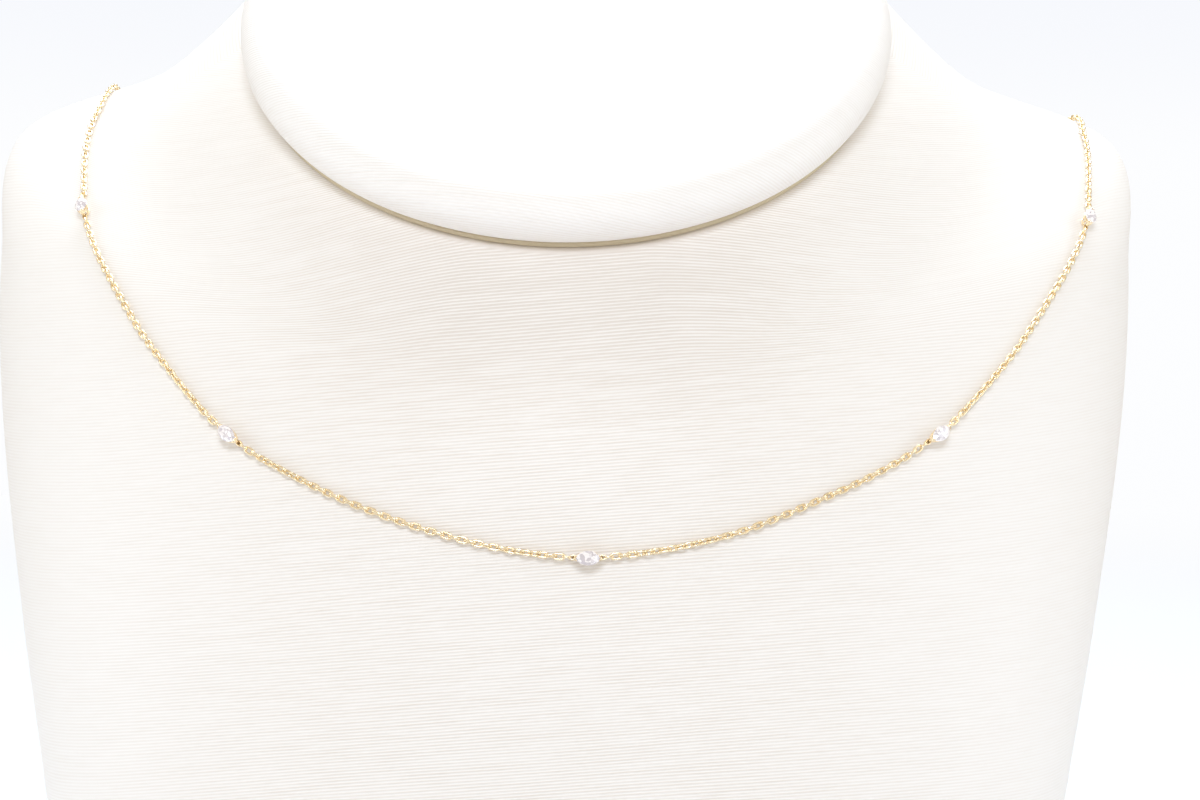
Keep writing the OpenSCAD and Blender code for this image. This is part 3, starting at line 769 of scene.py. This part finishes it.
# ---------------------------------------------------------------- stones
def build_stone(i):
    """A marquise brilliant: table, star, kite and girdle facets above, main and lower facets below."""
    n = 16

    def ring(count, share, z, shift=0.0):
        outline = oval(STONE_L, STONE_W, np.mod((np.arange(count) + shift) / count, 1))
        return np.column_stack([outline * share, np.full(count, z)])

    top = GIRDLE_H + CROWN_H
    table = ring(8, TABLE, top)
    star = ring(8, STAR, GIRDLE_H + CROWN_H * STAR_H, 0.5)
    girdle_top = ring(n, 1.0, GIRDLE_H)
    girdle_low = ring(n, 1.0, 0.0)
    mains = ring(8, MAIN, -PAVILION_H * MAIN_H, 0.5)
    culet = np.array([[0, 0, -PAVILION_H]])
    points = np.vstack([table, star, girdle_top, girdle_low, mains, culet]) + [0, 0, STONE_Z]
    a, b, c, d, e, f = 0, 8, 16, 16 + n, 16 + 2 * n, 24 + 2 * n
    faces = [tuple(range(8))]
    for k in range(8):
        k1, g0, g1, g2 = (k + 1) % 8, c + 2 * k, c + 2 * k + 1, c + (2 * k + 2) % n
        faces += [(a + k, b + k, a + k1)]                                  # star
        faces += [(a + k, b + (k - 1) % 8, g0), (a + k, g0, b + k)]        # kite
        faces += [(b + k, g0, g1), (b + k, g1, g2)]                        # upper girdle
        l0, l1, l2 = d + 2 * k, d + 2 * k + 1, d + (2 * k + 2) % n
        faces += [(l0, e + k, l1), (l1, e + k, l2)]                        # lower girdle
        faces += [(l0, e + (k - 1) % 8, f), (l0, f, e + k)]                # main
    faces += [(c + k, d + k, d + (k + 1) % n, c + (k + 1) % n) for k in range(n)]
    shape = Shape().add(points, faces).moved(station_s(i), SETTING_LIFT)
    shape.piece(f"stone_{i}_cut", stone_glass, "stone", [f"stone_{i}"], sharp=0)


# ---------------------------------------------------------------- clasp and end ring
# Radius of the centre line, radius of the wire and middle, along the chain, of each ring
CLASP_RING = 2.2, 0.55, 0
CLASP_EYE = 0.75, 0.25, -3.4
END_RING, END_RING_LEAN = (1.525, 0.275, 2.75), math.radians(50)


def ring_tube(radius, wire, middle, lean=0.0, count=64, sides=16):
    a = 2 * np.pi * np.arange(count) / count
    y = radius * np.sin(a)
    path = np.column_stack([middle + radius * np.cos(a), y * math.cos(lean), y * math.sin(lean)])
    return tube(path, wire, sides, closed=True, normal=(0, -math.sin(lean), math.cos(lean)))


def build_clasp():
    body = Shape().add(*ring_tube(*CLASP_RING)).add(*ring_tube(*CLASP_EYE, count=40, sides=12))
    body.moved(CLASP_S, CLASP_LIFT).piece("clasp_ring", gold_metal, "gold", ["clasp"])
    held = Shape().add(*ring_tube(*END_RING, END_RING_LEAN, count=56, sides=12))
    held.moved(CLASP_S, CLASP_LIFT).piece("end_ring_gold", gold_metal, "gold", ["end_ring"])


build_bust()
build_cap()
build_board()
build_chains()
for station in range(1, STATIONS + 1):
    build_setting(station)
    build_stone(station)
build_clasp()


# ---------------------------------------------------------------- floor, backdrop and light
BACKDROP_HIGH = (0.93, 0.945, 0.985, 1)
BACKDROP_LOW = (0.98, 0.987, 1.0, 1)
FLOOR_GLOW = (0.558, 0.473, 0.374, 1)
FLOOR_FADE = (0.2, 0.75)             # metres from the middle, where the floor turns into the backdrop
FLOOR_RINGS = (0.02, 0.4, 1.5, 6.0)  # metres
FLOOR_SIDES = 64
FLOOR_DROP = 0.0002
TENT_LIGHT = (0.5, 0.46, 0.4, 1)     # what the cloth sees
TENT_GLOSS = (0.66, 0.61, 0.53, 1)   # what metal and stones mirror

LIGHT_AIM = (0, 0, 0.1)
# Lamps: name, place and size in metres, power in watts, colour
LAMPS = [
    ("key", (0, -0.66, 0.56), (0.25, 0.2), 2.55, (0.79, 0.875, 1)),
    ("softbox_back", (0, 0.45, 0.8), (0.6, 0.4), 7.5, (0.757, 0.865, 1)),
    ("softbox_left", (-0.8, -0.2, 0.35), (0.5, 0.6), 1.75, (0.795, 0.901, 1)),
    ("softbox_right", (0.8, -0.2, 0.35), (0.5, 0.6), 1.65, (0.777, 0.89, 1)),
]

CAMERA_PLACE = (6.40, -334.89, 142.39)
CAMERA_DOWN, CAMERA_YAW, CAMERA_ROLL = math.radians(5.37), math.radians(-0.16), math.radians(0.77)
CAMERA_LENS, CAMERA_SENSOR = 72, 36


def build_floor():
    g = Graph("pale_floor")
    coordinates = g.node("TexCoord")
    away = g.node("VectorMath", operation="LENGTH")
    g.put(away.inputs[0], coordinates.outputs["Object"])
    fade = g.between(away.outputs["Value"], *FLOOR_FADE)
    g.set(Base_Color=(0.77, 0.78, 0.805, 1), Roughness=0.7)
    glow = g.node("Emission")
    seen = g.node("LightPath").outputs["Is Camera Ray"]
    g.put(glow.inputs["Color"], g.mix(seen, FLOOR_GLOW, BACKDROP_LOW))
    both = g.node("MixShader")
    g.put(both.inputs[0], fade)
    g.put(both.inputs[1], g.shader.outputs[0])
    g.put(both.inputs[2], glow.outputs[0])
    g.put(g.tree.nodes["Material Output"].inputs["Surface"], both.outputs[0])
    turn = np.arange(FLOOR_SIDES) * 2 * np.pi / FLOOR_SIDES
    points, faces = loft(np.array([
        np.column_stack([r * np.cos(turn), r * np.sin(turn), np.zeros(FLOOR_SIDES)]) for r in FLOOR_RINGS
    ]), caps=False)
    faces.append(tuple(range(FLOOR_SIDES)))
    mesh = bpy.data.meshes.new("floor")
    mesh.from_pydata(points.tolist(), [], faces)
    mesh.materials.append(g.material)
    made = bpy.data.objects.new("floor", mesh)
    made.location.z = -FLOOR_DROP
    scene.collection.objects.link(made)


def build_world():
    world = bpy.data.worlds.new("studio")
    scene.world = world
    world.use_nodes = True
    tree = world.node_tree
    tree.nodes.clear()

    def node(kind, **inputs):
        made = tree.nodes.new("ShaderNode" + kind)
        for key, value in inputs.items():
            made.inputs[key.replace("_", " ")].default_value = value
        return made

    coordinates, split = node("TexCoord"), node("SeparateXYZ")
    share = node("MapRange", From_Min=0.0, From_Max=0.08)
    share.interpolation_type = "SMOOTHSTEP"
    tree.links.new(coordinates.outputs["Generated"], split.inputs[0])
    tree.links.new(split.outputs["Z"], share.inputs["Value"])
    high = node("MixRGB", Color1=BACKDROP_LOW, Color2=BACKDROP_HIGH)
    tree.links.new(share.outputs["Result"], high.inputs["Fac"])
    light, seen = node("Background"), node("Background")
    both, path, out = node("MixShader"), node("LightPath"), node("OutputWorld")
    # Metal and stones mirror a somewhat brighter tent than the one that lights the cover
    tent = node("MixRGB", Color1=TENT_LIGHT, Color2=TENT_GLOSS)
    tree.links.new(path.outputs["Is Glossy Ray"], tent.inputs["Fac"])
    tree.links.new(tent.outputs["Color"], light.inputs["Color"])
    tree.links.new(high.outputs["Color"], seen.inputs["Color"])
    tree.links.new(path.outputs["Is Camera Ray"], both.inputs[0])
    tree.links.new(light.outputs[0], both.inputs[1])
    tree.links.new(seen.outputs[0], both.inputs[2])
    tree.links.new(both.outputs[0], out.inputs["Surface"])


def lamp(name, place, size, power, colour):
    data = bpy.data.lights.new(name, "AREA")
    data.shape = "RECTANGLE"
    data.size, data.size_y = size
    data.energy = power
    data.color = colour
    made = bpy.data.objects.new(name, data)
    made.location = place
    made.rotation_euler = (Vector(LIGHT_AIM) - Vector(place)).to_track_quat("-Z", "Y").to_euler()
    scene.collection.objects.link(made)


def build_light():
    build_world()
    for row in LAMPS:
        lamp(*row)


def build_camera():
    data = bpy.data.cameras.new("camera")
    data.sensor_width = CAMERA_SENSOR
    data.lens = CAMERA_LENS
    data.clip_start, data.clip_end = 0.01, 20
    down, yaw, roll = CAMERA_DOWN, CAMERA_YAW, CAMERA_ROLL
    ahead = Vector((math.sin(yaw) * math.cos(down), math.cos(yaw) * math.cos(down), -math.sin(down)))
    right = Vector((math.cos(yaw), -math.sin(yaw), 0))
    low = ahead.cross(right)
    right, low = right * math.cos(roll) - low * math.sin(roll), right * math.sin(roll) + low * math.cos(roll)
    made = bpy.data.objects.new("camera", data)
    turn = Matrix((right, -low, -ahead)).transposed()
    made.matrix_world = Matrix.Translation(Vector(CAMERA_PLACE) * MM) @ turn.to_4x4()
    scene.collection.objects.link(made)
    scene.camera = made


build_floor()
build_light()
build_camera()
scene.view_settings.view_transform = "Standard"
